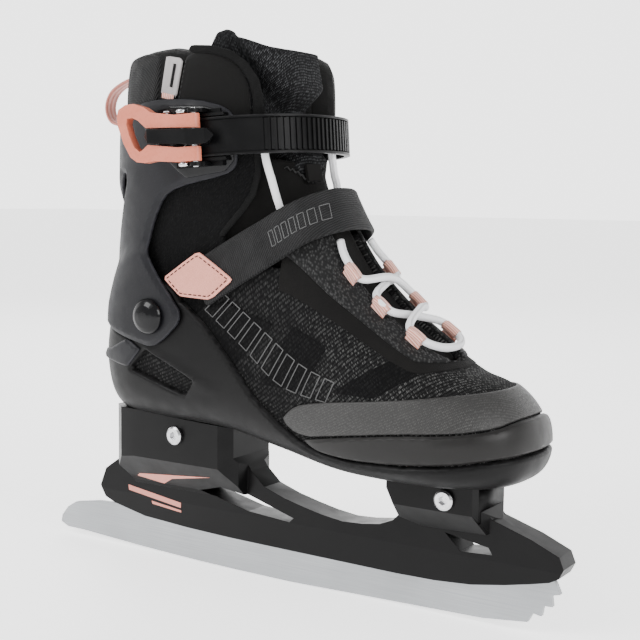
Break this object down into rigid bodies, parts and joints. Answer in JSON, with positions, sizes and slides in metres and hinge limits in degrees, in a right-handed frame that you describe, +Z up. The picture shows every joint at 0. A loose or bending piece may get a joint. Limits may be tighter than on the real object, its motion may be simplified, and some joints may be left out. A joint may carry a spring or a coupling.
{
  "type": "recreational ice skate",
  "caption": "Soft-boot recreational ice skate, right foot: hinged ankle cuff, ratchet buckle with ladder strap, instep strap, quick lacing and a steel blade in a bolted plastic holder.",
  "frame": {"origin": "the middle of the blade's ground contact, on the blade's centre plane", "axes": "+X to the toe, +Y to the inner side of this right skate, +Z up; the ice is Z = 0"},
  "size_m": [0.3435, 0.1231, 0.306],
  "materials": {
    "blade_steel": "ground and polished stainless steel",
    "bright_steel": "zinc plated, bright",
    "holder_plastic": "satin black glass-filled nylon",
    "shell_plastic": "fine grained black plastic",
    "cuff_plastic": "blue-grey speckled matt plastic",
    "rubber": "satin black rubber",
    "mesh_fabric": "black spacer mesh over foam",
    "webbing": "black and grey ribbed webbing",
    "pink_webbing": "pale pink woven tape",
    "pink_leather": "pale pink coated leather with stitching",
    "pink_plastic": "salmon pink moulded nylon",
    "white_lace": "white braided lace"
  },
  "bodies": {
    "boot": {"blade": "blade_steel", "blade_pin_1": "blade_steel", "blade_pin_2": "blade_steel", "blade_pin_3": "blade_steel", "blade_holder": "holder_plastic", "heel_bolt": "bright_steel", "heel_nut": "bright_steel", "toe_bolt": "bright_steel", "toe_nut": "bright_steel", "boot_shell": "shell_plastic", "toe_bumper": "rubber", "toe_guard": "rubber", "boot_upper": "mesh_fabric", "insole": "mesh_fabric", "tongue_lower": "mesh_fabric", "lace_stay": "mesh_fabric", "cuff_nut_outer": "blade_steel", "cuff_nut_inner": "blade_steel", "strap_anchor": "shell_plastic", "strap_pin": "blade_steel", "strap_rivet": "bright_steel", "lace_loop_outer_1": "pink_webbing", "lace_loop_inner_1": "pink_webbing", "lace_loop_outer_2": "pink_webbing", "lace_loop_inner_2": "pink_webbing", "lace_loop_outer_3": "pink_webbing", "lace_loop_inner_3": "pink_webbing", "lace": "white_lace"},
    "ankle_cuff": {"cuff": "cuff_plastic", "cuff_stud_outer": "holder_plastic", "cuff_stud_inner": "holder_plastic", "boot_collar": "mesh_fabric", "tongue_upper": "mesh_fabric", "lace_keeper": "mesh_fabric", "collar_tag": "mesh_fabric", "pull_loop": "pink_webbing", "ladder_anchor": "shell_plastic", "ladder_pin": "blade_steel", "ladder_screw": "bright_steel", "buckle_base": "shell_plastic", "buckle_rivet_top": "bright_steel", "buckle_rivet_bottom": "bright_steel", "buckle_axle": "bright_steel", "lace_end_outer": "white_lace", "lace_end_inner": "white_lace"},
    "instep": {"instep_strap": "webbing", "strap_tab": "pink_leather"},
    "ladder": {"ladder_strap": "shell_plastic"},
    "lever": {"buckle_lever": "pink_plastic", "lever_stud_top": "bright_steel", "lever_stud_bottom": "bright_steel", "lever_rivet": "bright_steel"},
    "release": {"release_bar": "shell_plastic"}
  },
  "joints": [
    {"name": "cuff_flex", "type": "hinge", "parent": "boot", "child": "ankle_cuff", "pos_m": [-0.057, 0, 0.15], "axis": [0, 1, 0], "range_deg": [0, 4], "stiffness_Nm_per_rad": 3},
    {"name": "instep_strap_open", "type": "hinge", "parent": "boot", "child": "instep", "pos_m": [-0.00271, 0.0416, 0.18257], "axis": [-0.515, 0, 0.8572], "range_deg": [0, 80]},
    {"name": "ladder_strap_open", "type": "hinge", "parent": "ankle_cuff", "child": "ladder", "pos_m": [-0.03396, 0.053, 0.24538], "axis": [-0.0698, 0, 0.9976], "range_deg": [0, 70]},
    {"name": "lever_open", "type": "hinge", "parent": "ankle_cuff", "child": "lever", "pos_m": [-0.016, -0.0569, 0.24664], "axis": [-0.0698, 0, 0.9976], "range_deg": [0, 100]},
    {"name": "release_bar_lift", "type": "hinge", "parent": "ankle_cuff", "child": "release", "pos_m": [-0.016, -0.0569, 0.24664], "axis": [-0.0698, 0, 0.9976], "range_deg": [0, 10], "stiffness_Nm_per_rad": 0.05, "springref_deg": -11.46}
  ]
}
